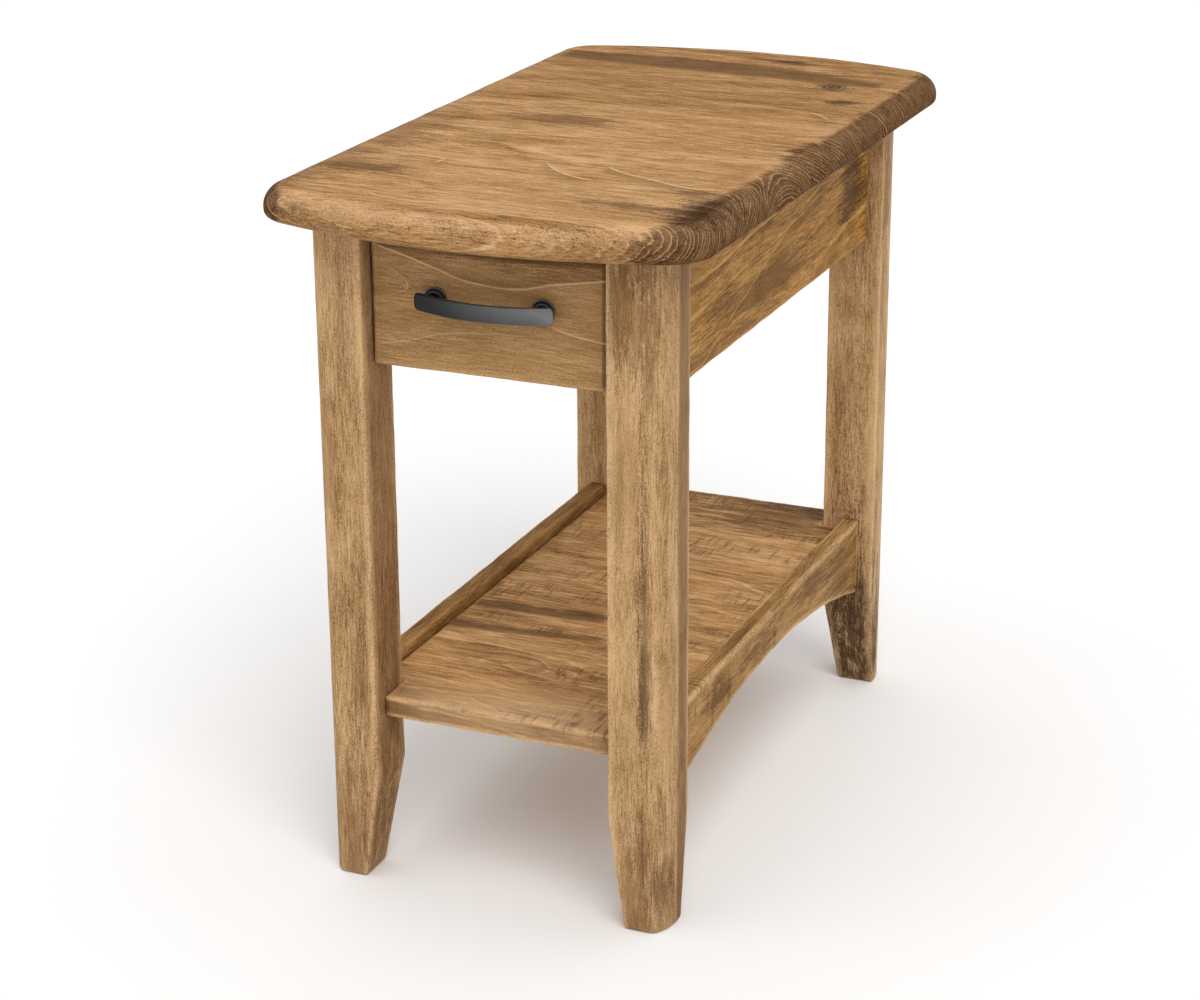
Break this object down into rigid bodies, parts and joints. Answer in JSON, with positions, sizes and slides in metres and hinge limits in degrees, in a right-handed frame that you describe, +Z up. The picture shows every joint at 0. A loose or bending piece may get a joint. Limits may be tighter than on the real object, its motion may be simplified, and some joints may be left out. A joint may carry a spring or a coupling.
{
  "type": "side table with drawer",
  "caption": "Narrow rustic wooden side table: bowed thick top, square legs tapered at the foot, inset drawer with a dark bow pull, and a low shelf between arched side rails.",
  "frame": {"origin": "on the floor, in the middle of the whole table", "axes": "+Z up, front (drawer) towards -Y, +X to the right as seen from the front"},
  "size_m": [0.393, 0.713, 0.622],
  "materials": {
    "top_wood": "satin stained maple, worn edges",
    "leg_wood": "satin stained maple",
    "rail_wood": "satin stained maple",
    "shelf_wood": "satin stained maple, rough-sawn edge",
    "front_wood": "satin stained maple",
    "box_wood": "clear maple",
    "block_wood": "unfinished poplar",
    "pull_metal": "dark gunmetal",
    "steel": "zinc plated"
  },
  "bodies": {
    "table": {"table_top": "top_wood", "leg_front_left": "leg_wood", "leg_front_right": "leg_wood", "leg_back_left": "leg_wood", "leg_back_right": "leg_wood", "apron_left": "rail_wood", "apron_right": "rail_wood", "apron_back": "rail_wood", "front_top_rail": "rail_wood", "front_bottom_rail": "rail_wood", "lower_rail_left": "rail_wood", "lower_rail_right": "rail_wood", "shelf": "shelf_wood", "shelf_cleat_left": "block_wood", "shelf_cleat_right": "block_wood", "slide_spacer_left": "block_wood", "slide_spacer_right": "block_wood", "slide_cabinet_left": "steel", "slide_cabinet_right": "steel", "corner_block_left": "block_wood", "corner_block_right": "block_wood", "corner_screw_left": "steel", "corner_screw_right": "steel", "top_clip_front_left": "steel", "top_clip_front_right": "steel", "top_clip_back_left": "steel", "top_clip_back_right": "steel", "top_screw_front_left": "steel", "top_screw_front_right": "steel", "top_screw_back_left": "steel", "top_screw_back_right": "steel", "shelf_screw_front_left": "steel", "shelf_screw_front_right": "steel", "shelf_screw_back_left": "steel", "shelf_screw_back_right": "steel", "slide_screw_front_left": "steel", "slide_screw_front_right": "steel", "slide_screw_back_left": "steel", "slide_screw_back_right": "steel"},
    "drawer": {"drawer_front": "front_wood", "drawer_box_front": "box_wood", "drawer_side_left": "box_wood", "drawer_side_right": "box_wood", "drawer_back": "box_wood", "drawer_bottom": "box_wood", "pull_handle": "pull_metal", "pull_rosette_left": "pull_metal", "pull_rosette_right": "pull_metal", "pull_screw_left": "steel", "pull_screw_right": "steel", "front_screw_left": "steel", "front_screw_right": "steel", "slide_drawer_left": "steel", "slide_drawer_right": "steel", "side_screw_front_left": "steel", "side_screw_front_right": "steel", "side_screw_back_left": "steel", "side_screw_back_right": "steel"},
    "slide_middle_left": {"slide_middle_left": "steel"},
    "slide_middle_right": {"slide_middle_right": "steel"}
  },
  "joints": [
    {"name": "drawer_slide", "type": "slide", "parent": "table", "child": "drawer", "axis": [0, -1, 0], "range_m": [0, 0.38]},
    {"name": "middle_slide_left", "type": "slide", "parent": "table", "child": "slide_middle_left", "axis": [0, -1, 0], "range_m": [0, 0.19]},
    {"name": "middle_slide_right", "type": "slide", "parent": "table", "child": "slide_middle_right", "axis": [0, -1, 0], "range_m": [0, 0.19]}
  ],
  "couplings": [
    {"joint": "middle_slide_left", "follows": "drawer_slide", "ratio": 0.5},
    {"joint": "middle_slide_right", "follows": "drawer_slide", "ratio": 0.5}
  ]
}
